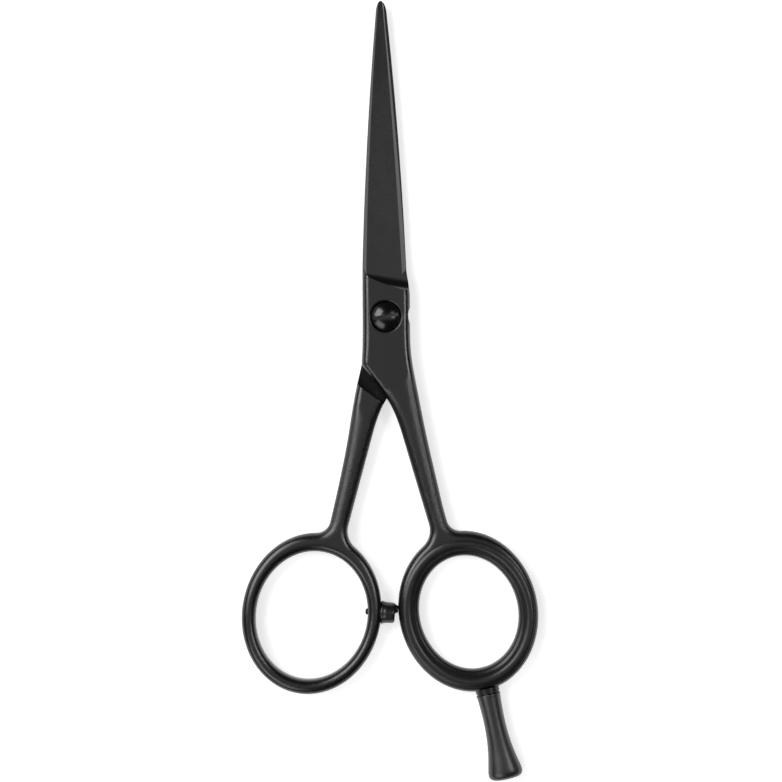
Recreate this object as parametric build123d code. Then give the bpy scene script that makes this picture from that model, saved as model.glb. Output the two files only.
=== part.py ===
"""Hair cutting shears with oval finger loops, a slotted pivot screw and a screwed-in finger rest.

Millimetres. The shears lie flat: +Z is up through the thickness, +Y runs towards the blade
tips, and the pivot axis is the Z axis. Z = 0 is the plane that the closed shears rest on.
Both halves are one forging design. The upper half, with the finger loop, is built as it
lies, and the lower half, with the thumb loop, is the same forging turned over about the
Y axis.
"""
from build123d import *
from math import cos, hypot, radians, sin, tan
import os

os.makedirs("parts", exist_ok=True)

# ---------------------------------------------------------------- driving dimensions
# thickness
stack_height = 5.0          # both halves together at the pivot
ride_gap = 0.06             # running gap between the two riding faces
loop_relief = 0.3           # loops lie this far inside each outer face of the pivot

# blade outline, half widths from the middle line of the closed shears
tip_y = 63.8                # pivot to tip
nose_length = 2.3           # rounded nose of the tip
mid_y = 38.0
spine_tip = 1.1
spine_mid = 3.05
spine_base = 4.5
spine_base_y = 11.0
spine_step = 0.2            # the lower half's spine is this much further in at its base
edge_tip = 0.72             # the cutting edge stays inside the spine of the other blade
edge_mid = 2.55
edge_step = 0.63            # the edge starts this far inside the ricasso's half width
edge_base_y = 9.8

# blade section
flat_drop = 0.64            # the ground flat lies this far below the ricasso, middle line
flat_tilt = 8.0             # degrees that the flat leans down to the cutting edge
blade_tip_thickness = 0.85
edge_land = 0.1             # blunt height left on the cutting edge
edge_bevel_base = 0.9       # widths of the bevels, at the shoulder and at the nose
edge_bevel_tip = 0.32
spine_bevel_base = 0.8
spine_bevel_tip = 0.35
spine_bevel_share = 0.5     # share of the blade thickness that the spine bevel takes
bevel_runout = 40.0         # degrees, slope of the bevels' ends at the shoulder

# shoulder between the ground flat and the ricasso
shoulder_y = 8.35           # where the flat begins, on the middle line
shoulder_slant = 10.5       # degrees, nearer to the pivot on the edge side
shoulder_radius = 3.0       # grinding wheel radius of the step
rounding_end = 15.8         # the forging's rounded outline ends here, under the grind

# ricasso and lap
ricasso_edge = 4.93         # half width beside the pivot, edge side
hidden_step = 0.43          # it is this much less on the lower half, which the upper half covers
ricasso_side = [(-0.05, 5.5), (0.03, 2.0), (-0.03, -3.0), (0.13, -7.5)]     # step, height
spine_flare = 0.2           # the spine side is this much wider at flare_y
flare_y = -3.5
heel_depth = 0.36           # relief at the heel of the cutting edge
heel_radius = 3.6
heel_y = 0.1
lap_corner = (-5.02, -9.7)  # corner of the lap tongue, spine side
crotch = (-0.36, -16.06)    # where the tongue runs into the inner side of the shank
lap_wall = (5.25, -14.04)   # a point on the wall where the shank regains full thickness
lap_wall_slant = 37.3       # degrees from the X axis
tongue_round = 1.7          # rounding of the tongue corner in plan

# finger loops
handle_length = 59.82       # pivot to the height of the loops' middle
loop_gap = 3.38             # between the two loops
loop_long = 16.35           # outer half axes
loop_wide = 14.05
loop_tilt = 11.7            # degrees that the long axis leans towards the shank
bar_long = 3.32             # width of the metal bar at the ends of the opening's axes
bar_wide = 2.76
opening_drop = 0.36         # the opening's middle lies this far below the loop's
opening_tilt = 11.9
round_share = 0.507         # share of bar_wide that the rounding of the outer edges takes
bar_crest = 0.06            # flat left on the bar beside the rounding of the opening

# shank, with heights as shares of its length from the pivot to the top of the loop
shank_waist = (1.12, -14.0)         # x beyond the ricasso's, and height
shank_outer = [(7.87, 0.55), (10.3, 0.81)]
shank_outer_end = (-3.0, 1.04)      # x from the middle of the loop
shank_inner = (3.0, 0.55)
shank_inner_end = (-5.6, 1.14)
relief_start = -12.0        # height where the thinning of the shank starts
relief_end = 0.94           # and the share where it ends
blend_outer = 2.8           # fillets where the shank runs into the loop
blend_inner = 4.4

# pivot
screw_shank = 3.6           # diameters
screw_head = 5.7
head_seat = 6.15            # counterbore in the upper half
seat_depth = 1.45
seat_chamfer = 0.2
running_clearance = 0.04    # radial, shank in its bores
axial_play = 0.02           # between faces that turn on each other
head_rim = 0.6              # straight height of the head
head_proud = 0.4            # crown above the ricasso
slot_width = 0.65
slot_depth = 0.7
slot_angle = 9.6
screw_end_chamfer = 0.25    # the end itself is ground flush with the rest plane
spring_thickness = 0.2      # disc spring under the head
spring_rise = 0.12
spring_outer = 5.5
spring_inner = 3.9
washer_outer = 7.6          # glide washer between the halves
washer_inner = 3.9
washer_thickness = 0.3
recess_clearance = 0.05     # radial, washer in its recess
pellet_diameter = 1.0       # nylon pellet that locks the thread
pellet_length = 0.9
pellet_z = 1.3

# bumper between the loops
bumper_tilt = -4.0          # degrees from the X axis
bumper_diameter = 4.15
bumper_foot = 4.65          # flange against the loop
bumper_foot_height = 0.45
bumper_round = 0.45
bumper_gap = 0.7            # to the other loop when closed, along the bumper's middle
nose_diameter = 1.7         # nose that meets the other loop where it comes nearest
nose_height = 0.5
nose_rise = 0.8             # towards the blades, from the bumper's middle
nose_round = 0.35
bumper_sink = 1.0           # the foot starts this far inside, and the loop shapes it
bumper_stud = 1.3           # diameter
stud_proud = 0.5            # stud end inside the thumb opening
stud_in_bumper = 1.9
fixed_clearance = 0.02      # radial, studs in their bores

# ring insert
wall_long = 1.49            # its wall at the ends of the opening's axes
wall_wide = 1.34
bore_offset = (0.13, 0.15)  # the bore's middle from the opening's
bore_tilt = 14.0
lip_overlap = 2.1           # how far the lips reach over the metal of the loop
lip_round = 1.0
step_width = 1.5            # lower step of the ring round its bore
step_depth = 0.9
bead_round = 0.75           # between the step and the crest of the lips
bore_round = 0.7

# finger rest
rest_turn = 11.5            # degrees from -Y towards +X
rest_offset = 0.4           # its axis passes this far outside the middle of the loop
rest_stud = 2.0             # diameter
stud_in_loop = 2.4
stud_in_grip = 6.0
collar_diameter = 4.8
collar_height = 0.55
seal_diameter = 4.1
seal_height = 0.25
grip_length = 17.7
grip_stations = [0.0, 0.13, 0.3, 0.53, 0.74, 0.9, 1.0]       # shares of its length
grip_widths = [5.0, 4.5, 4.3, 4.6, 5.7, 6.9, 6.95]
grip_heights = [4.4, 4.15, 4.0, 4.1, 4.35, 4.6, 4.6]
grip_end_round = 1.3

# ---------------------------------------------------------------- places that follow from them
middle = stack_height / 2
riding_face = middle + ride_gap / 2
washer_face = middle + washer_thickness / 2
flat_middle = stack_height - flat_drop
flat_taper = (flat_middle - riding_face - blade_tip_thickness) / (tip_y - shoulder_y)
nose_y = tip_y - nose_length
edge_base = ricasso_edge - edge_step
shank_length = handle_length - loop_long
loop_reach = hypot(loop_long * sin(radians(loop_tilt)), loop_wide * cos(radians(loop_tilt)))
loop_x = loop_gap / 2 + loop_reach
loop_y = -handle_length
opening_y = loop_y - opening_drop
opening_long = loop_long - bar_long
opening_wide = loop_wide - bar_wide
edge_round = round_share * bar_wide
opening_round = bar_wide - edge_round - bar_crest


# ---------------------------------------------------------------- small helpers
def oval(center_x, center_y, long_half, wide_half, lean):
    """Filled ellipse whose long axis leans from +Y towards -X by lean degrees."""
    return Pos(center_x, center_y) * Rot(0, 0, lean - 90) * Ellipse(long_half, wide_half)


def slab(face, low, high):
    """Extrude a plan face between two heights."""
    return extrude(Pos(0, 0, low) * face, high - low)


def rims(body, opening):
    """The edges of a body that run all around an oval opening."""
    length = opening.edge().length
    return body.edges().filter_by(lambda e: abs(e.length - length) < 0.01 * length)


def turned_over(body):
    """Turn a half over about the Y axis, inside the same stack height."""
    return Pos(0, 0, stack_height) * Rot(0, 180, 0) * body


# ---------------------------------------------------------------- the forged half
edge_curve = ThreePointArc((edge_tip, nose_y), (edge_mid, mid_y), (edge_base, edge_base_y))


def spine_of(hidden):
    """Spine side of the blade, a little further in on the hidden lower half."""
    step = spine_step if hidden else 0
    middle_step = step * (nose_y - mid_y) / (nose_y - spine_base_y)
    return ThreePointArc((step - spine_base, spine_base_y), (middle_step - spine_mid, mid_y),
                         (-spine_tip, nose_y))


def plan_face(hidden):
    """Plan outline of blade, ricasso and shank, closed inside the loop."""
    ricasso_half = ricasso_edge - hidden_step if hidden else ricasso_edge
    spine_curve = spine_of(hidden)
    tip = Vector(0, tip_y)
    spine_end = spine_curve @ 1
    edge_start = edge_curve @ 0
    tongue = (Vector(*crotch) - Vector(*lap_corner)).normalized()
    inner_start = Vector(shank_inner[0], -shank_inner[1] * shank_length)
    inner_end = Vector(loop_x + shank_inner_end[0], -shank_inner_end[1] * shank_length)
    outer_end = Vector(loop_x + shank_outer_end[0], -shank_outer_end[1] * shank_length)
    outer_side = Spline(
        edge_curve @ 1,
        *[(ricasso_half + step, y) for step, y in ricasso_side],
        (ricasso_edge + shank_waist[0], shank_waist[1]),
        *[(x, -share * shank_length) for x, share in shank_outer],
        outer_end,
        tangents=[edge_curve % 1, (1, -3.5)],
    )
    spine_side = Spline(
        lap_corner,
        (-spine_base - spine_flare, flare_y),
        spine_curve @ 0,
        tangents=[(0.1, 1), spine_curve % 0],
    )
    outline = [
        spine_curve,
        Bezier(spine_end, spine_end + (spine_curve % 1) * nose_length, tip),
        Bezier(tip, edge_start - (edge_curve % 0) * nose_length, edge_start),
        edge_curve,
        outer_side,
        Line(outer_end, inner_end),
        Line(inner_end, inner_start),
        Spline(inner_start, crotch, tangents=[inner_start - inner_end, -tongue]),
        Line(crotch, lap_corner),
        spine_side,
    ]
    return make_face(outline)


def thickness_profile():
    """Side view of both halves: full height at the pivot, thinner at the loops."""
    reach = 1.5 * (handle_length + loop_long)
    end = -relief_end * shank_length
    half_way = (relief_start + end) / 2
    low = loop_relief
    high = stack_height - loop_relief
    top = Bezier((relief_start, stack_height), (half_way, stack_height), (half_way, high),
                 (end, high))
    bottom = Bezier((end, low), (half_way, low), (half_way, 0), (relief_start, 0))
    outline = [
        top,
        Line((end, high), (-reach, high)),
        Line((-reach, high), (-reach, low)),
        Line((-reach, low), (end, low)),
        bottom,
        Line((relief_start, 0), (reach, 0)),
        Line((reach, 0), (reach, stack_height)),
        Line((reach, stack_height), (relief_start, stack_height)),
    ]
    return extrude(Plane.YZ * make_face(outline), reach, both=True)


def blended_joints(blank):
    """Fillet the two corners in plan where the sides of the shank run into the loop."""
    lean = radians(loop_tilt)

    def on_loop(edge):
        place = edge.center()
        across = (place.X - loop_x) * cos(lean) + (place.Y - loop_y) * sin(lean)
        along = (place.Y - loop_y) * cos(lean) - (place.X - loop_x) * sin(lean)
        on_outline = abs(hypot(across / loop_wide, along / loop_long) - 1) < 1e-3
        return place.Y > loop_y + loop_long / 2 and on_outline

    joints = blank.edges().filter_by(Axis.Z).filter_by(on_loop).sort_by(Axis.X)
    blank = fillet(joints[-1:], blend_outer)
    joints = blank.edges().filter_by(Axis.Z).filter_by(on_loop).sort_by(Axis.X)
    return fillet(joints[:1], blend_inner)


def rounded_outline(blank):
    """Round the outer edges of ricasso, shank and loop, above and below."""
    def is_outline(edge):
        middle_of_edge = edge @ 0.5
        along = edge % 0.5
        level = min(middle_of_edge.Z, stack_height - middle_of_edge.Z)
        crosswise = edge.geom_type == GeomType.LINE and abs(along.X) > 0.999
        return level < loop_relief + 0.01 and abs(along.Z) < 0.5 and not crosswise

    return fillet(blank.edges().filter_by(is_outline), edge_round)


def grind_cutter():
    """Everything above the ground flat of the blade, with the concave step at its end."""
    reach = tip_y + 20
    width = 12
    wheel = CenterArc((0, shoulder_radius), shoulder_radius, 180, 90)
    outline = [
        wheel,
        Line((0, 0), (reach, -flat_taper * reach)),
        Line((reach, -flat_taper * reach), (reach, shoulder_radius)),
        Line((reach, shoulder_radius), (-shoulder_radius, shoulder_radius)),
    ]
    slant = radians(shoulder_slant)
    side_view = Plane(origin=(0, 0, 0), x_dir=(sin(slant), cos(slant), 0),
                      z_dir=(cos(slant), -sin(slant), 0))
    cutter = extrude(side_view * make_face(outline), width, both=True)
    return Pos(0, shoulder_y, flat_middle) * Rot(0, flat_tilt, 0) * cutter


def flat_height(x, y):
    """Height of the ground flat at a place in plan."""
    return flat_middle - flat_taper * (y - shoulder_y) - tan(radians(flat_tilt)) * x


def bevel_cutter(curve, base_width, tip_width, low_height):
    """Lofted cutter that bevels one side of the blade, with a sloped end at the shoulder.

    curve runs along that side, and low_height gives where the bevel starts at a place.
    """
    below = 0.25            # the cutter goes this share of the bevel beyond it, down
    above = 1.6             # and up
    outer_reach = 1.5 * spine_base
    stations = [curve @ t for t in (0, 0.25, 0.5, 0.75, 1)]
    stations = sorted(stations, key=lambda p: p.Y)
    side = 1 if stations[0].X > 0 else -1
    beyond = stations[-1] + (stations[-1] - stations[-2]).normalized() * (nose_length + 1)
    first = stations[0] - (stations[1] - stations[0]).normalized() * shoulder_y
    sections = []
    for point in [first, *stations, beyond]:
        share = (point.Y - shoulder_y) / (nose_y - shoulder_y)
        width = base_width + (tip_width - base_width) * share
        low = low_height(point.X, point.Y)
        rise = flat_height(point.X - side * width, point.Y) - low
        inner_bottom = (point.X + side * width * below, low - rise * below)
        inner_top = (point.X - side * width * (1 + above), low + rise * (1 + above))
        outline = Polyline(
            inner_bottom,
            inner_top,
            (side * outer_reach, inner_top[1]),
            (side * outer_reach, inner_bottom[1]),
            close=True,
        )
        station = Plane(origin=(0, point.Y, 0), x_dir=(1, 0, 0), z_dir=(0, -1, 0))
        sections.append(station * make_face(outline))
    slope = radians(bevel_runout)
    end = Plane(origin=(0, shoulder_y - side * sin(radians(shoulder_slant)) * edge_base, flat_middle),
                x_dir=(1, 0, 0), z_dir=(0, sin(slope), cos(slope)))
    return split(loft(sections), bisect_by=end, keep=Keep.TOP)


def edge_low(x, y):
    """Height where the edge bevel starts."""
    return riding_face + edge_land


def spine_low(x, y):
    """Height where the spine bevel starts."""
    height = flat_height(x, y)
    return height - spine_bevel_share * (height - riding_face)


def lap_cutter():
    """Everything below the riding face, on the blade side of the lap wall."""
    reach = 14
    along = Vector(cos(radians(lap_wall_slant)), sin(radians(lap_wall_slant)))
    wall = Vector(*lap_wall)
    near = wall - along * reach
    far = wall + along * reach
    top = tip_y + 5
    outline = Polyline(near, far, (far.X, top), (near.X, top), close=True)
    return slab(make_face(outline), -1, riding_face)


def forged_half(hidden):
    """One half as a finished forging, without its bores."""
    plan = plan_face(hidden) + oval(loop_x, loop_y, loop_long, loop_wide, loop_tilt)
    blank = slab(plan, 0, stack_height)
    tongue_edge = blank.edges().filter_by(Axis.Z).sort_by_distance(lap_corner)[:1]
    blank = fillet(tongue_edge, tongue_round)
    blank = blended_joints(blank) & thickness_profile()
    reach = 3 * handle_length
    handle_space = Pos(0, rounding_end - reach / 2, 0) * Box(reach, reach, 4 * stack_height)
    handle = rounded_outline(blank & handle_space)
    blade = blank - handle_space
    opening = oval(loop_x, opening_y, opening_long, opening_wide, opening_tilt)
    handle = handle - slab(opening, -1, stack_height + 1)
    half = fillet(rims(handle, opening), opening_round) + blade
    half = half - lap_cutter() - grind_cutter()
    half = half - bevel_cutter(edge_curve, edge_bevel_base, edge_bevel_tip, edge_low)
    half = half - bevel_cutter(spine_of(hidden), spine_bevel_base, spine_bevel_tip, spine_low)
    bottom = ricasso_edge - heel_depth - (hidden_step if hidden else 0)
    heel = Pos(bottom + heel_radius, heel_y) * Circle(heel_radius)
    return half - slab(heel, 0, stack_height)


# ---------------------------------------------------------------- pivot
seat_floor = stack_height - seat_depth
head_underside = seat_floor + spring_thickness + spring_rise + axial_play
screw_bore = screw_shank + 2 * running_clearance
washer_recess = washer_outer + 2 * recess_clearance


def bored_upper_half():
    """Finger half with the screw seat, the bore and the recess of the glide washer."""
    half = forged_half(hidden=False)
    seat = Pos(0, 0, seat_floor) * extrude(Circle(head_seat / 2), stack_height)
    seat += Pos(0, 0, stack_height - seat_chamfer) * extrude(
        Circle(head_seat / 2), seat_chamfer, taper=-45)
    recess = slab(Circle(washer_recess / 2), 0, washer_face + axial_play)
    return half - seat - recess - slab(Circle(screw_bore / 2), 0, stack_height)


def bored_lower_half():
    """Thumb half with the screw bore and the recess of the glide washer."""
    half = turned_over(forged_half(hidden=True))
    recess = slab(Circle(washer_recess / 2), middle - washer_thickness / 2, stack_height)
    bore = slab(Circle(screw_bore / 2), -1, stack_height)
    return half - recess - bore


def pivot_screw():
    """Oval-head slotted screw whose shank holds both halves."""
    head = screw_head / 2
    shank = screw_shank / 2
    rim_top = head_underside + head_rim
    crown = stack_height + head_proud
    dome_radius = (head**2 + (crown - rim_top)**2) / (2 * (crown - rim_top))
    outline = [
        Line((0, 0), (shank - screw_end_chamfer, 0)),
        Line((shank - screw_end_chamfer, 0), (shank, screw_end_chamfer)),
        Line((shank, screw_end_chamfer), (shank, head_underside)),
        Line((shank, head_underside), (head, head_underside)),
        Line((head, head_underside), (head, rim_top)),
        RadiusArc((head, rim_top), (0, crown), -dome_radius),
        Line((0, crown), (0, 0)),
    ]
    screw = revolve(Plane.XZ * make_face(outline), Axis.Z)
    slot = Rot(0, 0, slot_angle) * Pos(0, 0, crown) * Box(2 * screw_head, slot_width,
                                                          2 * slot_depth)
    pellet_bore = Pos(shank, 0, pellet_z) * Rot(0, 90, 0) * Cylinder(
        pellet_diameter / 2, 2 * pellet_length)
    return screw - slot - pellet_bore


def thread_pellet():
    """Nylon pellet in the side of the screw shank, which keeps the setting."""
    start = screw_shank / 2 - pellet_length
    pellet = Pos(start, 0, pellet_z) * Rot(0, 90, 0) * extrude(
        Circle(pellet_diameter / 2), pellet_length)
    return pellet & slab(Circle(screw_shank / 2), 0, middle)


def spring_washer():
    """Dished spring washer between the screw head and the floor of its seat."""
    inner = spring_inner / 2
    outer = spring_outer / 2
    section = Polyline(
        (outer, seat_floor),
        (outer, seat_floor + spring_thickness),
        (inner, seat_floor + spring_thickness + spring_rise),
        (inner, seat_floor + spring_rise),
        close=True,
    )
    return revolve(Plane.XZ * make_face(section), Axis.Z)


def glide_washer():
    """Thin plastic washer between the halves, in a recess of each."""
    ring = Circle(washer_outer / 2) - Circle(washer_inner / 2)
    return slab(ring, middle - washer_thickness / 2, washer_face)


# ---------------------------------------------------------------- bumper
bumper_face_x = loop_gap / 2 - bumper_gap               # end face of the bumper
loop_face_x = -loop_gap / 2                             # outer side of the thumb loop
opening_face_x = -loop_x + hypot(opening_long * sin(radians(opening_tilt)),
                                 opening_wide * cos(radians(opening_tilt)))
bumper_line = Plane(origin=(loop_face_x, loop_y, middle),
                    x_dir=(0, 0, 1),
                    z_dir=(cos(radians(bumper_tilt)), sin(radians(bumper_tilt)), 0))


def bumper(thumb_half):
    """Rubber buffer on the thumb loop, shaped to it at the foot."""
    height = bumper_face_x - loop_face_x
    foot = extrude(Circle(bumper_foot / 2), bumper_sink + bumper_foot_height)
    body = extrude(Circle(bumper_diameter / 2), bumper_sink + height)
    body = fillet(body.edges().sort_by(Axis.Z)[-1:], bumper_round)
    nose = Pos(0, -nose_rise, 0) * extrude(Circle(nose_diameter / 2),
                                           bumper_sink + height + nose_height)
    nose = fillet(nose.edges().sort_by(Axis.Z)[-1:], nose_round)
    bore = extrude(Circle(bumper_stud / 2 + fixed_clearance), bumper_sink + stud_in_bumper)
    buffer = bumper_line * Pos(0, 0, -bumper_sink) * (foot + body + nose - bore)
    return buffer - thumb_half


def bumper_stud_solid(clearance=0.0):
    """Stud that carries the bumper, from the thumb opening into the rubber."""
    through = loop_face_x - opening_face_x + stud_proud
    stud = extrude(Circle(bumper_stud / 2 + clearance), through + stud_in_bumper - clearance)
    if clearance == 0:
        stud = fillet(stud.edges().sort_by(Axis.Z)[:1], bumper_stud / 3)
    return bumper_line * Pos(0, 0, -through) * stud


# ---------------------------------------------------------------- ring insert
def ring_insert(finger_half):
    """Soft reducing ring whose lips hold on both sides of the finger loop."""
    outside = oval(loop_x, opening_y, opening_long + lip_overlap, opening_wide + lip_overlap,
                   opening_tilt)
    bore = oval(loop_x + bore_offset[0], opening_y + bore_offset[1],
                opening_long - wall_long, opening_wide - wall_wide, bore_tilt)
    step = oval(loop_x + bore_offset[0], opening_y + bore_offset[1],
                opening_long - wall_long + step_width, opening_wide - wall_wide + step_width,
                bore_tilt)
    ring = slab(outside, 0, stack_height)
    ring = fillet(ring.edges().filter_by(GeomType.ELLIPSE), lip_round)
    ring = ring - slab(step, stack_height - step_depth, stack_height + 1)
    ring = ring - slab(step, -1, step_depth)
    crests = rims(ring, step).sort_by(Axis.Z)
    ring = fillet(crests[:1] + crests[-1:], bead_round)
    ring = ring - slab(bore, -1, stack_height + 1)
    ring = fillet(rims(ring, bore), bore_round)
    return ring - finger_half


# ---------------------------------------------------------------- finger rest
def rest_line(distance):
    """Plane across the finger rest's axis at a distance from the middle of the loop."""
    turn = radians(rest_turn)
    along = Vector(sin(turn), -cos(turn), 0)
    across = Vector(cos(turn), sin(turn), 0)
    origin = Vector(loop_x, loop_y, middle) + across * rest_offset + along * distance
    return Plane(origin=origin, x_dir=across, z_dir=along)


collar_start = loop_long - 0.4
collar_end = loop_long + collar_height
grip_start = collar_end + seal_height


def rest_stud_solid(finger_half):
    """Steel stud with a collar: one end in the loop, the other in the grip."""
    bar = rest_line(loop_long - stud_in_loop) * extrude(
        Circle(rest_stud / 2), stud_in_loop + collar_height + seal_height + stud_in_grip)
    collar = rest_line(collar_start) * extrude(
        Circle(collar_diameter / 2), collar_end - collar_start)
    return (collar - finger_half) + bar


def rest_bore(start, length):
    """Bore for the finger rest's stud."""
    return rest_line(start) * extrude(Circle(rest_stud / 2 + fixed_clearance), length)


def rest_seal():
    """Thin washer between the collar and the grip."""
    ring = Circle(seal_diameter / 2) - Circle(rest_stud / 2 + fixed_clearance)
    return rest_line(collar_end) * extrude(ring, seal_height)


def finger_rest():
    """Flared grip for the little finger."""
    sections = []
    for share, width, height in zip(grip_stations, grip_widths, grip_heights):
        section = Ellipse(width / 2, height / 2)
        sections.append(rest_line(grip_start + share * grip_length) * section)
    grip = loft(sections)
    grip = fillet(grip.faces().sort_by(Axis.Y)[0].edges(), grip_end_round)
    return grip - rest_bore(grip_start - 0.1, stud_in_grip + 0.3)


# ---------------------------------------------------------------- assembly
def build_parts():
    """All nodes of the shears by name."""
    finger = bored_upper_half()
    thumb = bored_lower_half()
    parts = {
        "pivot_screw": pivot_screw(),
        "thread_pellet": thread_pellet(),
        "spring_washer": spring_washer(),
        "glide_washer": glide_washer(),
        "bumper": bumper(thumb),
        "bumper_stud": bumper_stud_solid(),
        "ring_insert": ring_insert(finger),
        "finger_rest_stud": rest_stud_solid(finger),
        "finger_rest_seal": rest_seal(),
        "finger_rest": finger_rest(),
    }
    parts["finger_half"] = finger - rest_bore(loop_long - stud_in_loop - 0.1,
                                              stud_in_loop + 1)
    parts["thumb_half"] = thumb - bumper_stud_solid(fixed_clearance)
    return parts


for name, part in build_parts().items():
    print(name, round(part.volume, 2), part.is_valid, len(part.faces()), len(part.solids()))
    export_step(part, f"parts/{name}.step")
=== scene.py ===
from math import cos, pi, radians, sin

import bmesh
import bpy
from mathutils import Matrix, Vector
from mathutils.bvhtree import BVHTree


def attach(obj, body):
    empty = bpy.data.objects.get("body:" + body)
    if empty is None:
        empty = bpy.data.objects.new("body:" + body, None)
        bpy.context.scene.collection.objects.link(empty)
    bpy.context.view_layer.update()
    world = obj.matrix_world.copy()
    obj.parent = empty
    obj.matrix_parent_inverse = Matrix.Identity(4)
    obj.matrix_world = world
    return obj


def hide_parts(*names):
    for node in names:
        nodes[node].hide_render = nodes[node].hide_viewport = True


# Looks of a pair of black hair cutting shears: coated steel halves, a slotted pivot screw,
# a soft ring insert, a rubber bumper and a moulded finger rest. The studio and the materials
# are in metres. The soft pieces are in millimetres until each mesh is finished.

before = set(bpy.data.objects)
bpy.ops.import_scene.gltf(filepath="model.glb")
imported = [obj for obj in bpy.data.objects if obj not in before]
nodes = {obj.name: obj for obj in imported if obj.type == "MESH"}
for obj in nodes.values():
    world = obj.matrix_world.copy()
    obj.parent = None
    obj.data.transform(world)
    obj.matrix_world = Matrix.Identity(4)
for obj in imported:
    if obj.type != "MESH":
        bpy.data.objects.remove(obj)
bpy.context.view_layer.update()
MM = 0.001
MIDDLE = 2.5                                    # height of the blades' common plane


# ------------------------------------------------------------------ tools for node trees
def connect(tree, value, socket):
    """Link a socket to an input, or set the input to a plain number."""
    if isinstance(value, (int, float)):
        socket.default_value = value
    else:
        tree.links.new(value, socket)


def math_node(tree, operation, first, second):
    """Math node whose inputs are sockets or plain numbers."""
    node = tree.nodes.new("ShaderNodeMath")
    node.operation = operation
    connect(tree, first, node.inputs[0])
    connect(tree, second, node.inputs[1])
    return node.outputs[0]


def axes_of(tree, vector):
    """The X, Y and Z of a vector."""
    node = tree.nodes.new("ShaderNodeSeparateXYZ")
    tree.links.new(vector, node.inputs[0])
    return node.outputs


def spread(tree, value, span, result=(0.0, 1.0)):
    """Take a value smoothly from one end of the result to the other over a span."""
    node = tree.nodes.new("ShaderNodeMapRange")
    node.interpolation_type = "SMOOTHSTEP"
    tree.links.new(value, node.inputs["Value"])
    for label, number in zip(("From Min", "From Max", "To Min", "To Max"), (*span, *result)):
        node.inputs[label].default_value = number
    return node.outputs["Result"]


def noise(tree, vector, scale, detail, roughness):
    """Noise on a vector, from 0 to 1."""
    node = tree.nodes.new("ShaderNodeTexNoise")
    node.inputs["Detail"].default_value = detail
    node.inputs["Roughness"].default_value = roughness
    tree.links.new(vector, node.inputs["Vector"])
    connect(tree, scale, node.inputs["Scale"])
    return node.outputs["Fac"]


def color_mix(tree, amount, first, second):
    """Mix two colours, each a socket or three numbers."""
    node = tree.nodes.new("ShaderNodeMix")
    node.data_type = "RGBA"
    tree.links.new(amount, node.inputs[0])
    for place, value in ((6, first), (7, second)):      # the node's two colour inputs
        if isinstance(value, tuple):
            node.inputs[place].default_value = (*value, 1)
        else:
            tree.links.new(value, node.inputs[place])
    return node.outputs[2]


# ------------------------------------------------------------------ camera, light and floor
SHEARS_MIDDLE = Vector((0, -0.015, 0))
LAMP_DISTANCE = 1.3
CAMERA_PLACE = (0.873 * MM, -15.06 * MM, (MIDDLE + 439.9) * MM)
CAMERA_ROLL = radians(-0.84)
SWEEP_EDGE = (sin(radians(2)), sin(radians(8)))     # where the white of the sweep ends
ROOM_LEVEL = 0.02                                   # how bright the room is above it
FLOOR_HALF_SIDE = 4.0
PAPER_WHITE = 0.85
PAPER_LIFT = 0.62                                   # what makes the floor white to the eye


def place_camera():
    """Long lens straight above the shears, rolled a little."""
    data = bpy.data.cameras.new("camera")
    data.lens = 100
    data.sensor_width = 36
    data.clip_start = 0.01
    camera = bpy.data.objects.new("camera", data)
    camera.location = CAMERA_PLACE
    camera.rotation_euler = (0, 0, CAMERA_ROLL)
    bpy.context.collection.objects.link(camera)
    bpy.context.scene.camera = camera
    bpy.context.scene.view_settings.view_transform = "Standard"


def softbox(name, azimuth, zenith, size, radiance):
    """Rectangular soft light of a given radiance that looks at the middle of the shears.

    azimuth turns from +X towards +Y and zenith leans from +Z. The first size is along the
    lean, the second across it.
    """
    turn = radians(azimuth)
    lean = radians(zenith)
    way = Vector((cos(turn) * sin(lean), sin(turn) * sin(lean), cos(lean)))
    data = bpy.data.lights.new(name, "AREA")
    data.shape = "RECTANGLE"
    data.size, data.size_y = size
    data.energy = radiance * pi * size[0] * size[1]
    lamp = bpy.data.objects.new(name, data)
    lamp.location = SHEARS_MIDDLE + way * LAMP_DISTANCE
    lamp.rotation_euler = (0, lean, turn)
    bpy.context.collection.objects.link(lamp)


def light_studio():
    """Strong softboxes on the left and right, a weaker one in front and a wide dim one above."""
    softbox("left softbox", 150, 39, (0.65, 0.85), 5.4)
    softbox("right softbox", 12, 36, (0.30, 0.50), 6.0)
    softbox("front softbox", 233, 46, (0.55, 0.90), 2.5)
    softbox("overhead softbox", 0, 0, (1.70, 0.70), 0.44)


def studio_world():
    """White low down, as a sweep of paper is, and dark above it, where the softboxes hang.

    The camera sees white all round.
    """
    world = bpy.data.worlds.new("studio")
    bpy.context.scene.world = world
    world.use_nodes = True
    tree = world.node_tree
    tree.nodes.clear()
    place = tree.nodes.new("ShaderNodeTexCoord")
    path = tree.nodes.new("ShaderNodeLightPath")
    height = axes_of(tree, place.outputs["Generated"])["Z"]
    sweep = spread(tree, height, SWEEP_EDGE, (1.0, ROOM_LEVEL))
    room = tree.nodes.new("ShaderNodeBackground")
    room.inputs["Color"].default_value = (1, 1, 1, 1)
    tree.links.new(math_node(tree, "MAXIMUM", sweep, path.outputs["Is Camera Ray"]),
                   room.inputs["Strength"])
    output = tree.nodes.new("ShaderNodeOutputWorld")
    tree.links.new(room.outputs[0], output.inputs["Surface"])


def seen_directly(tree):
    """1 for camera, mirror and glass rays, and 0 for the light that falls on things."""
    path = tree.nodes.new("ShaderNodeLightPath")
    mirrored = math_node(tree, "MAXIMUM", path.outputs["Is Camera Ray"],
                         path.outputs["Is Glossy Ray"])
    return math_node(tree, "MAXIMUM", mirrored, path.outputs["Is Transmission Ray"])


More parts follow.
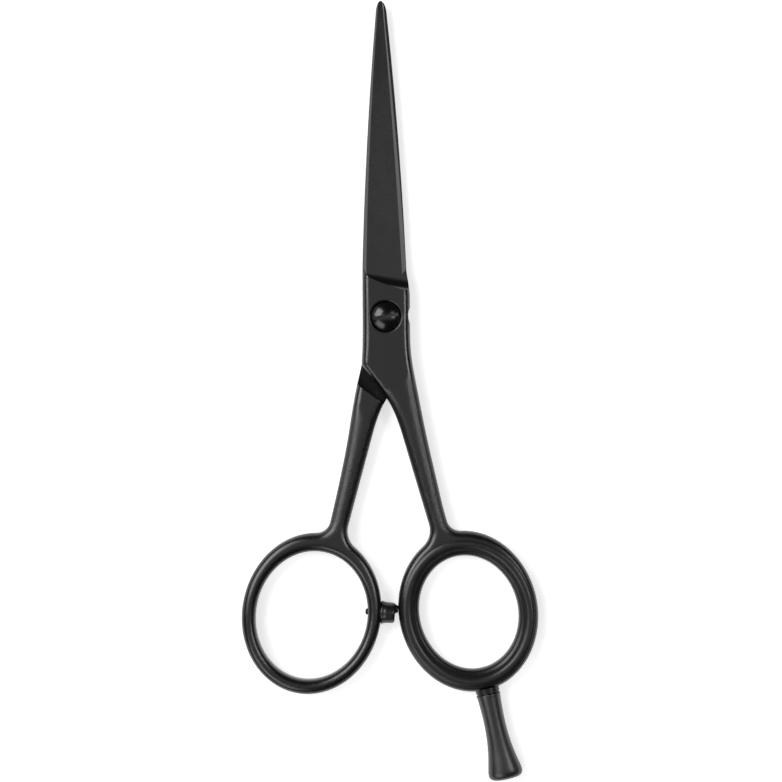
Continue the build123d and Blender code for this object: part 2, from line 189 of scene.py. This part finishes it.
def white_floor():
    """White sheet under the shears that stays white to the eye and keeps their shadow."""
    form = bmesh.new()
    bmesh.ops.create_grid(form, x_segments=4, y_segments=4, size=FLOOR_HALF_SIDE)
    mesh = bpy.data.meshes.new("floor")
    form.to_mesh(mesh)
    form.free()
    floor = bpy.data.objects.new("floor", mesh)
    bpy.context.collection.objects.link(floor)
    finish = bpy.data.materials.new("white sheet")
    finish.use_nodes = True
    tree = finish.node_tree
    tree.nodes.clear()
    paper = tree.nodes.new("ShaderNodeBsdfDiffuse")
    paper.inputs["Color"].default_value = (PAPER_WHITE, PAPER_WHITE, PAPER_WHITE, 1)
    glow = tree.nodes.new("ShaderNodeEmission")
    glow.inputs["Color"].default_value = (1, 1, 1, 1)
    tree.links.new(math_node(tree, "MULTIPLY", seen_directly(tree), PAPER_LIFT),
                   glow.inputs["Strength"])
    both = tree.nodes.new("ShaderNodeAddShader")
    output = tree.nodes.new("ShaderNodeOutputMaterial")
    tree.links.new(paper.outputs[0], both.inputs[0])
    tree.links.new(glow.outputs[0], both.inputs[1])
    tree.links.new(both.outputs[0], output.inputs["Surface"])
    mesh.materials.append(finish)


place_camera()
light_studio()
studio_world()
white_floor()


# ------------------------------------------------------------------ shared surface effects
SWELL_SCALE = 0.13                              # of the swells under the grain, against its own
SWELL_HEIGHT = 0.8
RUB_PATCHES = 900.0                             # noise per metre that breaks the rubbing up
SMUDGES = ((95.0, 3, 0.65), (420.0, 2, 0.35))   # noise per metre, detail, share
LINE_STRETCH = (1.0, 0.012, 1.0)


def effect(name, inputs, outputs):
    """Empty node group with named sockets."""
    group = bpy.data.node_groups.new(name, "ShaderNodeTree")
    for label, kind, value in inputs:
        socket = group.interface.new_socket(name=label, in_out="INPUT", socket_type=kind)
        if value is not None:
            socket.default_value = value
    for label, kind in outputs:
        group.interface.new_socket(name=label, in_out="OUTPUT", socket_type=kind)
    return group, group.nodes.new("NodeGroupInput"), group.nodes.new("NodeGroupOutput")


def make_grain_effect():
    """Fine pits and swells of a sprayed or moulded surface."""
    tree, given, result = effect(
        "fine grain",
        [("Vector", "NodeSocketVector", None), ("Grains per metre", "NodeSocketFloat", 7000.0)],
        [("Height", "NodeSocketFloat"), ("Flecks", "NodeSocketFloat")])
    grains = given.outputs["Grains per metre"]
    fine = noise(tree, given.outputs["Vector"], grains, detail=4, roughness=0.6)
    swell_scale = math_node(tree, "MULTIPLY", grains, SWELL_SCALE)
    swells = noise(tree, given.outputs["Vector"], swell_scale, detail=2, roughness=0.5)
    height = math_node(tree, "ADD", fine, math_node(tree, "MULTIPLY", swells, SWELL_HEIGHT))
    tree.links.new(height, result.inputs["Height"])
    tree.links.new(spread(tree, fine, (0.56, 0.74)), result.inputs["Flecks"])
    return tree


def make_rub_effect():
    """Where outer edges are rubbed, broken up by noise."""
    tree, given, result = effect(
        "edge rub",
        [("Vector", "NodeSocketVector", None), ("Reach", "NodeSocketFloat", 0.00012)],
        [("Mask", "NodeSocketFloat")])
    rounded = tree.nodes.new("ShaderNodeBevel")
    rounded.samples = 6
    tree.links.new(given.outputs["Reach"], rounded.inputs["Radius"])
    surface = tree.nodes.new("ShaderNodeNewGeometry")
    agreement = tree.nodes.new("ShaderNodeVectorMath")
    agreement.operation = "DOT_PRODUCT"
    tree.links.new(rounded.outputs["Normal"], agreement.inputs[0])
    tree.links.new(surface.outputs["Normal"], agreement.inputs[1])
    turned = math_node(tree, "SUBTRACT", 1.0, agreement.outputs["Value"])
    edge = spread(tree, turned, (0.015, 0.16))
    patches = noise(tree, given.outputs["Vector"], RUB_PATCHES, detail=3, roughness=0.55)
    tree.links.new(math_node(tree, "MULTIPLY", edge, spread(tree, patches, (0.30, 0.62))),
                   result.inputs["Mask"])
    return tree


def make_smudge_effect():
    """Broad, faint differences in gloss left by hands and cloths."""
    tree, given, result = effect(
        "handling smudges",
        [("Vector", "NodeSocketVector", None)],
        [("Mask", "NodeSocketFloat")])
    broad, small = (
        math_node(tree, "MULTIPLY",
                  noise(tree, given.outputs["Vector"], scale, detail, roughness=0.5), share)
        for scale, detail, share in SMUDGES)
    tree.links.new(spread(tree, math_node(tree, "ADD", broad, small), (0.36, 0.66)),
                   result.inputs["Mask"])
    return tree


def make_line_effect():
    """Fine lines of grinding or rolling that run along the Y of the given vector."""
    tree, given, result = effect(
        "grinding lines",
        [("Vector", "NodeSocketVector", None), ("Lines per metre", "NodeSocketFloat", 9000.0)],
        [("Height", "NodeSocketFloat")])
    stretch = tree.nodes.new("ShaderNodeVectorMath")
    stretch.operation = "MULTIPLY"
    tree.links.new(given.outputs["Vector"], stretch.inputs[0])
    stretch.inputs[1].default_value = LINE_STRETCH
    lines = noise(tree, stretch.outputs["Vector"], given.outputs["Lines per metre"],
                  detail=3, roughness=0.65)
    tree.links.new(lines, result.inputs["Height"])
    return tree


fine_grain = make_grain_effect()
edge_rub = make_rub_effect()
handling_smudges = make_smudge_effect()
grinding_lines = make_line_effect()


# ------------------------------------------------------------------ materials
def start_material(name, color, roughness, metallic=0.0, specular=0.5):
    """Material with its Principled shader and an Object coordinates socket.

    The colour and roughness stand in wherever the patterns that feed them can't be read.
    """
    finish = bpy.data.materials.new(name)
    finish.use_nodes = True
    tree = finish.node_tree
    shader = tree.nodes["Principled BSDF"]
    shader.inputs["Base Color"].default_value = (*color, 1)
    shader.inputs["Roughness"].default_value = roughness
    shader.inputs["Metallic"].default_value = metallic
    shader.inputs["Specular IOR Level"].default_value = specular
    place = tree.nodes.new("ShaderNodeTexCoord")
    return finish, tree, shader, place.outputs["Object"]


def use_effect(tree, group, vector, **values):
    """Place a shared effect in a material with its own values."""
    node = tree.nodes.new("ShaderNodeGroup")
    node.node_tree = group
    tree.links.new(vector, node.inputs["Vector"])
    for label, value in values.items():
        node.inputs[label.replace("_", " ")].default_value = value
    return node


def bump(tree, shader, height, depth, normal=None):
    """Feed a height, in a depth of metres, to the shader's normal."""
    node = tree.nodes.new("ShaderNodeBump")
    if normal is not None:
        tree.links.new(normal, node.inputs["Normal"])
    node.inputs["Strength"].default_value = 1.0
    node.inputs["Distance"].default_value = depth
    tree.links.new(height, node.inputs["Height"])
    tree.links.new(node.outputs["Normal"], shader.inputs["Normal"])


def facing_up(tree, span):
    """Mask of the faces that look up: the Z of their true normal is past the span."""
    facing = tree.nodes.new("ShaderNodeNewGeometry")
    return spread(tree, axes_of(tree, facing.outputs["True Normal"])["Z"], span)


CROWN_RADIUS = 0.0033                           # of the shanks' polished edges
CROWN_LOOP_SHARE = 0.36                         # what the loops have of it
EDGE_RADIUS = 0.0005                            # of all other edges below the blades
SIDES = (-0.001, 0.001)                         # x, from the left shank's side to the right's
SHANK_TOPS = (-0.0188, -0.0118)                 # y, of the left shank and of the right one
SHANK_FADE = (-0.002, 0.002)                    # y past them, over which the crown ends
LOOP_FADE = (-0.047, -0.040)                    # y, where the loops pass into the shanks
BLADE_FADE = (0.0045, 0.0055)                   # y, where the blades start
POCKET_HEIGHT = (0.0026, 0.0030)                # z, the lap's pocket lies below it
POCKET_TOP = (-0.0095, -0.0085)                 # y, and between this
POCKET_BOTTOM = (-0.020, -0.019)                # and this
POCKET_LEAN = (0.17, 0.34, 0.0)                 # what its hollow grinding turns the normal by


def crowned_normal(tree, place):
    """Normal of the steel: soft polished edges, fuller on the shanks, and the lap's pocket
    ground hollow toward the shoulder."""
    axes = axes_of(tree, place)
    along = axes["Y"]
    past_top = math_node(tree, "SUBTRACT", along, spread(tree, axes["X"], SIDES, SHANK_TOPS))
    shank = spread(tree, past_top, SHANK_FADE, (CROWN_RADIUS, 0.0))
    handle = math_node(tree, "MULTIPLY", shank,
                       spread(tree, along, LOOP_FADE, (CROWN_LOOP_SHARE, 1.0)))
    edges = spread(tree, along, BLADE_FADE, (EDGE_RADIUS, 0.0))
    pocket = facing_up(tree, (0.8, 0.9))
    for limit in (spread(tree, axes["Z"], POCKET_HEIGHT, (1.0, 0.0)),
                  spread(tree, along, POCKET_TOP, (1.0, 0.0)),
                  spread(tree, along, POCKET_BOTTOM)):
        pocket = math_node(tree, "MULTIPLY", pocket, limit)
    soft = tree.nodes.new("ShaderNodeBevel")
    soft.samples = 8
    tree.links.new(math_node(tree, "MAXIMUM", handle, edges), soft.inputs["Radius"])
    lean = tree.nodes.new("ShaderNodeVectorMath")
    lean.operation = "MULTIPLY_ADD"
    lean.inputs[0].default_value = POCKET_LEAN
    tree.links.new(pocket, lean.inputs[1])
    tree.links.new(soft.outputs["Normal"], lean.inputs[2])
    level = tree.nodes.new("ShaderNodeVectorMath")
    level.operation = "NORMALIZE"
    tree.links.new(lean.outputs[0], level.inputs[0])
    return level.outputs[0]


def coated_steel(name):
    """Satin black coating: fine grain, rubbed edges, faint smudges."""
    finish, tree, shader, place = start_material(
        name, (0.0035, 0.0035, 0.0037), roughness=0.26, specular=0.75)
    grain = use_effect(tree, fine_grain, place, Grains_per_metre=7500.0)
    rub = use_effect(tree, edge_rub, place, Reach=0.00014)
    smudge = use_effect(tree, handling_smudges, place)
    base = color_mix(tree, smudge.outputs["Mask"],
                     (0.0026, 0.0026, 0.0027), (0.0038, 0.0038, 0.0040))
    flecked = color_mix(tree, math_node(tree, "MULTIPLY", grain.outputs["Flecks"], 0.35),
                        base, (0.013, 0.013, 0.0135))
    lightened = color_mix(tree, math_node(tree, "MULTIPLY", rub.outputs["Mask"], 0.55),
                       flecked, (0.04, 0.04, 0.042))
    tree.links.new(lightened, shader.inputs["Base Color"])
    tree.links.new(spread(tree, smudge.outputs["Mask"], (0.0, 1.0), (0.28, 0.23)),
                   shader.inputs["Roughness"])
    bump(tree, shader, grain.outputs["Height"], 0.000003, crowned_normal(tree, place))
    return finish


# The screw slot's floor is painted lighter towards its right end, as a painted highlight.
SLOT_HEIGHT = (0.00474, 0.00478)                # z, the slot's floor lies below it
SLOT_REACH = (-0.0018, 0.0026)                  # x, from the faint end of the slot's painted highlight to its strongest end
SLOT_HIGHLIGHT_STRENGTH = (0.08, 1.0)


def slot_painted_highlight(tree, place):
    """Mask of the screw slot's floor, where a highlight is painted, strongest towards its right
    end.
    """
    axes = axes_of(tree, place)
    floor = math_node(tree, "MULTIPLY", facing_up(tree, (0.97, 0.99)),
                      spread(tree, axes["Z"], SLOT_HEIGHT, (1.0, 0.0)))
    return math_node(tree, "MULTIPLY", floor, spread(tree, axes["X"], SLOT_REACH, SLOT_HIGHLIGHT_STRENGTH))


def polished_black_steel(name, gloss, roughness, slotted):
    """Oxide black steel, rubbed at its edges and, on a slotted piece, with a highlight painted
    on its slot's floor.

    Its roughness goes from the first value to the second over the smudges.
    """
    finish, tree, shader, place = start_material(
        name, (0.004, 0.004, 0.0042), roughness=0.22, specular=gloss)
    rub = use_effect(tree, edge_rub, place, Reach=0.0001)
    smudge = use_effect(tree, handling_smudges, place)
    rub_and_slot_highlight = rub.outputs["Mask"]
    if slotted:
        # The slot's floor gets a painted highlight, lightest towards its right end.
        rub_and_slot_highlight = math_node(tree, "MAXIMUM", rub_and_slot_highlight, slot_painted_highlight(tree, place))
    # Lighter at the edges from rubbing, and on the slot's floor as a painted highlight.
    lightened = color_mix(tree, rub_and_slot_highlight, (0.0035, 0.0035, 0.0037), (0.05, 0.05, 0.052))
    tree.links.new(lightened, shader.inputs["Base Color"])
    tree.links.new(spread(tree, smudge.outputs["Mask"], (0.0, 1.0), roughness),
                   shader.inputs["Roughness"])
    grain = use_effect(tree, fine_grain, place, Grains_per_metre=9000.0)
    bump(tree, shader, grain.outputs["Height"], 0.0000015)
    return finish


def black_rubber(name):
    """Matt rubber with a fine skin and a little bloom."""
    finish, tree, shader, place = start_material(
        name, (0.010, 0.010, 0.0103), roughness=0.34, specular=0.55)
    grain = use_effect(tree, fine_grain, place, Grains_per_metre=5200.0)
    smudge = use_effect(tree, handling_smudges, place)
    base = color_mix(tree, smudge.outputs["Mask"],
                     (0.008, 0.008, 0.0083), (0.011, 0.011, 0.0113))
    flecked = color_mix(tree, math_node(tree, "MULTIPLY", grain.outputs["Flecks"], 0.4),
                        base, (0.02, 0.02, 0.0205))
    tree.links.new(flecked, shader.inputs["Base Color"])
    tree.links.new(spread(tree, smudge.outputs["Mask"], (0.0, 1.0), (0.30, 0.36)),
                   shader.inputs["Roughness"])
    bump(tree, shader, grain.outputs["Height"], 0.000005)
    return finish


def moulded_plastic(name, dark, light, grain_depth):
    """Moulded plastic with a fine texture from its tool."""
    finish, tree, shader, place = start_material(name, dark, roughness=0.36, specular=0.85)
    grain = use_effect(tree, fine_grain, place, Grains_per_metre=6000.0)
    smudge = use_effect(tree, handling_smudges, place)
    tree.links.new(color_mix(tree, smudge.outputs["Mask"], dark, light),
                   shader.inputs["Base Color"])
    tree.links.new(spread(tree, smudge.outputs["Mask"], (0.0, 1.0), (0.34, 0.40)),
                   shader.inputs["Roughness"])
    bump(tree, shader, grain.outputs["Height"], grain_depth)
    return finish


def bright_spring_steel(name):
    """Bare rolled steel."""
    finish, tree, shader, place = start_material(
        name, (0.45, 0.45, 0.46), roughness=0.28, metallic=1.0)
    lines = use_effect(tree, grinding_lines, place, Lines_per_metre=6000.0)
    base = color_mix(tree, lines.outputs["Height"], (0.38, 0.38, 0.39), (0.52, 0.52, 0.53))
    tree.links.new(base, shader.inputs["Base Color"])
    bump(tree, shader, lines.outputs["Height"], 0.000002)
    return finish


coating = coated_steel("coated steel")
screw_black = polished_black_steel("polished black steel", 0.65, (0.19, 0.23), slotted=True)
stud_black = polished_black_steel("black stud steel", 0.4, (0.34, 0.40), slotted=False)
rubber = black_rubber("soft black rubber")
grip_finish = moulded_plastic("satin black plastic", (0.010, 0.010, 0.0105),
                              (0.013, 0.013, 0.0135), 0.000004)
nylon_finish = moulded_plastic("natural nylon", (0.74, 0.73, 0.68), (0.80, 0.79, 0.75), 0.000002)
spring_finish = bright_spring_steel("bright spring steel")

for node_name, finish in (
        ("thumb_half", coating), ("finger_half", coating), ("pivot_screw", screw_black),
        ("thread_pellet", nylon_finish), ("spring_washer", spring_finish),
        ("glide_washer", nylon_finish), ("bumper_stud", stud_black),
        ("finger_rest_stud", stud_black)):
    slots = nodes[node_name].data.materials
    slots.clear()
    slots.append(finish)


# ------------------------------------------------------------------ tools for the soft pieces
MERGE_DISTANCE = 0.0005
SMOOTH_LEVELS = 2


def finished_piece(name, form, finish, body, replaced):
    """Turn a bmesh in millimetres into a smooth piece that stands for a CAD node."""
    bmesh.ops.remove_doubles(form, verts=form.verts, dist=MERGE_DISTANCE)
    bmesh.ops.scale(form, vec=(MM, MM, MM), verts=form.verts)
    bmesh.ops.recalc_face_normals(form, faces=form.faces)
    for face in form.faces:
        face.smooth = True
    mesh = bpy.data.meshes.new(name)
    form.to_mesh(mesh)
    form.free()
    mesh.materials.append(finish)
    piece = bpy.data.objects.new(name, mesh)
    bpy.context.collection.objects.link(piece)
    smoother = piece.modifiers.new("smooth", "SUBSURF")
    smoother.levels = SMOOTH_LEVELS
    smoother.render_levels = SMOOTH_LEVELS
    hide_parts(replaced)
    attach(piece, body)


def oval(form, place, wide_half, long_half, segments=72):
    """Oval ring of points, in order, in a place's XY plane: wide along X, long along Y."""
    size = Matrix.Diagonal((wide_half, long_half, 1, 1))
    made = bmesh.ops.create_circle(form, segments=segments, radius=1, matrix=place @ size)
    return made["verts"]


def ring_edges(points):
    """The edges that run round a ring of points."""
    own = set(points)
    return [edge for edge in {e for point in points for e in point.link_edges}
            if edge.verts[0] in own and edge.verts[1] in own]


def skin(form, rings, closed=False):
    """Join neighbouring rings by faces, and cap both ends or close the last on the first."""
    pairs = list(zip(rings, rings[1:]))
    if closed:
        pairs.append((rings[-1], rings[0]))
    for first, second in pairs:
        bmesh.ops.bridge_loops(form, edges=ring_edges(first) + ring_edges(second))
    if not closed:
        for end in (rings[-1], rings[0]):
            bmesh.ops.contextual_create(form, geom=ring_edges(end))


def surface_of(node_name):
    """Ray target made of a CAD node's mesh, in metres."""
    form = bmesh.new()
    form.from_mesh(nodes[node_name].data)
    tree = BVHTree.FromBMesh(form)
    form.free()
    return tree


def met_along(surface, point, way, reach):
    """Where a ray through a point, starting reach before it, meets a surface, or None."""
    start = (point - way * reach) * MM
    place = surface.ray_cast(start, way, 2 * reach * MM)[0]
    return None if place is None else place / MM


# ------------------------------------------------------------------ ring insert
LOOP = Vector((15.842, -59.82, MIDDLE))         # middle of the finger loop
OPENING_DROP = 0.36                             # its opening's middle lies this much lower
OPENING = (13.03, 11.29, 11.9)                  # half axes, long and wide, and lean in degrees
LIP = (15.13, 13.39, 11.9)                      # the same, of the insert's edge
BORE = (11.54, 9.95, 14.0)                      # and of its bore
BORE_SHIFT = (0.13, 0.15)                       # of the bore's middle from the opening's
LIP_PROFILE = [                                 # share of the way from bore to lip, height
    (0.0, 2.7), (0.023, 3.3), (0.07, 3.72), (0.14, 4.0), (0.21, 4.12), (0.28, 4.23),
    (0.34, 4.37), (0.4, 4.56), (0.48, 4.78), (0.57, 4.92), (0.69, 4.99), (0.79, 4.96),
    (0.88, 4.86), (0.95, 4.72)]
LIP_EDGE = [(0.985, 0.10), (1.0, 0.0), (0.95, -0.03)]   # share, rise above the metal
METAL_TOP = 4.7                                 # of the loop at its opening
CHANNEL_ROUND = 1.3                             # the opening's rounded rim, which it hugs
CHANNEL_GAP = 0.01                              # how far it stands off the opening's wall
INSERT_SEGMENTS = 96

finger_metal = surface_of("finger_half")


def opening_ring(form, long_half, wide_half, lean, shift, height):
    """Oval ring round the opening's middle, which it may be shifted from."""
    place = Matrix.Translation((LOOP.x + shift[0], LOOP.y - OPENING_DROP + shift[1], height))
    turn = Matrix.Rotation(radians(lean), 4, "Z")
    return oval(form, place @ turn, wide_half, long_half, INSERT_SEGMENTS)


def lip_ring(form, share, height):
    """Ring of the insert between its bore, share 0, and the edge of its lips, share 1."""
    long_half, wide_half, lean = (bore + (lip - bore) * share for bore, lip in zip(BORE, LIP))
    shift = [way * (1 - share) for way in BORE_SHIFT]
    return opening_ring(form, long_half, wide_half, lean, shift, height)


def laid_ring(form, share, side, rise):
    """Ring near the edge of a lip, laid on the metal with a little rise above it."""
    points = lip_ring(form, share, MIDDLE + side * MIDDLE)
    down = Vector((0, 0, -side))
    for point in points:
        met = met_along(finger_metal, point.co, down, MIDDLE)
        level = met.z if met else MIDDLE + side * (METAL_TOP - MIDDLE)
        point.co.z = level + side * rise
    return points


def channel_ring(form, angle, side):
    """Ring of the channel round the opening's rim, from its top, 90 degrees, to its wall, 0."""
    outward = CHANNEL_ROUND * (1 - cos(angle)) - CHANNEL_GAP
    above = METAL_TOP - CHANNEL_ROUND - MIDDLE + CHANNEL_ROUND * sin(angle)
    long_half, wide_half, lean = OPENING
    return opening_ring(form, long_half + outward, wide_half + outward, lean, (0, 0),
                        MIDDLE + side * above)


def insert_section(form, side):
    """Rings of one half of the section, from the bore over the lip to the channel."""
    rings = [lip_ring(form, share, MIDDLE + side * (height - MIDDLE))
             for share, height in LIP_PROFILE]
    rings += [laid_ring(form, share, side, rise) for share, rise in LIP_EDGE]
    rings += [channel_ring(form, radians(degrees), side) for degrees in (90, 60, 30, 0)]
    return rings


form = bmesh.new()
upper = insert_section(form, 1)
lower = insert_section(form, -1)
skin(form, upper + lower[::-1], closed=True)
finished_piece("insert_ring", form, rubber, "finger_side", "ring_insert")


# ------------------------------------------------------------------ bumper
BUMPER_START = Vector((-1.69, -59.82, MIDDLE))  # where its axis leaves the thumb loop
BUMPER_TURN = radians(-4.0)
BUMPER_WAY = Vector((cos(BUMPER_TURN), sin(BUMPER_TURN), 0))
BUMPER_SIDE = [                                 # radius, distance from the loop
    (2.46, 0.02), (2.32, 0.25), (2.2, 0.5), (2.13, 0.85), (2.1, 1.3), (2.09, 1.8),
    (2.08, 2.25), (2.0, 2.5), (1.86, 2.64), (1.62, 2.70)]
BUMPER_END = 2.71
FACE_RINGS = 12
FOOT_HEIGHT_SHARE = 0.8                         # the foot is lower than it is wide
FOOT_LENGTH = 0.85                              # and round from here on
FOOT_SINK = 0.05                                # how far into the loop the foot goes
NOSE_RISE = 0.8                                 # towards the blades from the bumper's middle
NOSE_RADIUS = 0.82
NOSE_HEIGHT = 0.62
NOSE_FLANK = 0.3
LOOP_REACH = 3.0                                # how far from the foot the loop is looked for

thumb_metal = surface_of("thumb_half")


def bumper_ring(form, radius, distance):
    """Ring across the bumper's axis, at a distance from its start."""
    lie = BUMPER_WAY.to_track_quat("Z", "Y").to_matrix().to_4x4()
    place = Matrix.Translation(BUMPER_START) @ lie @ Matrix.Translation((0, 0, distance))
    return oval(form, place, radius, radius)


def shape_foot(sides):
    """Flatten the rings near the loop, and lay the first one on it."""
    for points, (_, distance) in zip(sides, BUMPER_SIDE):
        flatness = max(0, 1 - distance / FOOT_LENGTH) * (1 - FOOT_HEIGHT_SHARE)
        for point in points:
            point.co.z = MIDDLE + (point.co.z - MIDDLE) * (1 - flatness)
    for point in sides[0]:
        met = met_along(thumb_metal, point.co, -BUMPER_WAY, LOOP_REACH)
        if met:
            point.co = met - BUMPER_WAY * FOOT_SINK


def raise_nose(rings):
    """Raise a round nose with soft flanks from rings of the bumper's face."""
    nose_middle = BUMPER_START + Vector((-BUMPER_WAY.y, BUMPER_WAY.x, 0)) * NOSE_RISE
    for points in rings:
        for point in points:
            away = point.co - nose_middle
            away = (away - BUMPER_WAY * away.dot(BUMPER_WAY)).length
            share = min(max((NOSE_RADIUS + NOSE_FLANK / 2 - away) / NOSE_FLANK, 0), 1)
            point.co += BUMPER_WAY * NOSE_HEIGHT * share * share * (3 - 2 * share)


form = bmesh.new()
sides = [bumper_ring(form, radius, distance) for radius, distance in BUMPER_SIDE]
shape_foot(sides)
face_radius = BUMPER_SIDE[-1][0]
faces = [bumper_ring(form, face_radius * (1 - step / (FACE_RINGS + 1)), BUMPER_END)
         for step in range(1, FACE_RINGS + 1)]
raise_nose(sides[-2:] + faces)
skin(form, sides + faces)
finished_piece("bumper_rubber", form, rubber, "thumb_side", "bumper")


# ------------------------------------------------------------------ finger rest
REST_TURN = 11.5                                # degrees its axis leans from -Y
REST_OFFSET = 0.4                               # its axis passes this far beside the middle
GRIP_START = 17.15                              # distance from the loop's middle
GRIP = [                                        # distance from its start, width, height
    (0.0, 3.9, 3.5), (0.0, 4.5, 3.98), (0.06, 4.78, 4.2), (0.2, 4.9, 4.3), (0.42, 4.86, 4.28),
    (0.62, 4.72, 4.22), (2.3, 4.5, 4.15), (5.3, 4.28, 4.0), (7.4, 4.36, 4.02), (9.4, 4.6, 4.1),
    (11.4, 5.08, 4.24), (13.1, 5.68, 4.46), (14.6, 6.35, 4.76), (15.7, 6.84, 4.98),
    (16.3, 7.0, 4.98), (16.85, 6.86, 4.7), (17.3, 6.3, 4.1), (17.58, 5.2, 3.2),
    (17.68, 3.8, 2.3), (17.7, 2.0, 1.2)]
SEAL_START = 16.9
SEAL = [                                        # distance from its start, width
    (-0.01, 3.6), (0.0, 3.95), (0.06, 4.12), (0.19, 4.12), (0.25, 3.95), (0.26, 3.6)]
HOLE = 2.04                                     # width of the hole for the stud
HOLE_DEPTH = 6.0


def rest_ring(form, distance, width, height):
    """Ring across the finger rest's axis, at a distance from the middle of the loop."""
    turn = Matrix.Rotation(radians(REST_TURN), 4, "Z")
    place = Matrix.Translation(LOOP) @ turn @ Matrix.Translation((REST_OFFSET, -distance, 0))
    return oval(form, place @ Matrix.Rotation(radians(90), 4, "X"), width / 2, height / 2)


form = bmesh.new()
rings = [rest_ring(form, GRIP_START + depth, HOLE, HOLE) for depth in (HOLE_DEPTH, 0.0)]
rings += [rest_ring(form, GRIP_START + distance, width, height)
          for distance, width, height in GRIP]
skin(form, rings)
finished_piece("grip_shell", form, grip_finish, "finger_side", "finger_rest")

form = bmesh.new()
rings = [rest_ring(form, SEAL_START + distance, width, width) for distance, width in SEAL]
rings += [rest_ring(form, SEAL_START + SEAL[end][0], HOLE, HOLE) for end in (-1, 0)]
skin(form, rings, closed=True)
finished_piece("seal_washer", form, rubber, "finger_side", "finger_rest_seal")
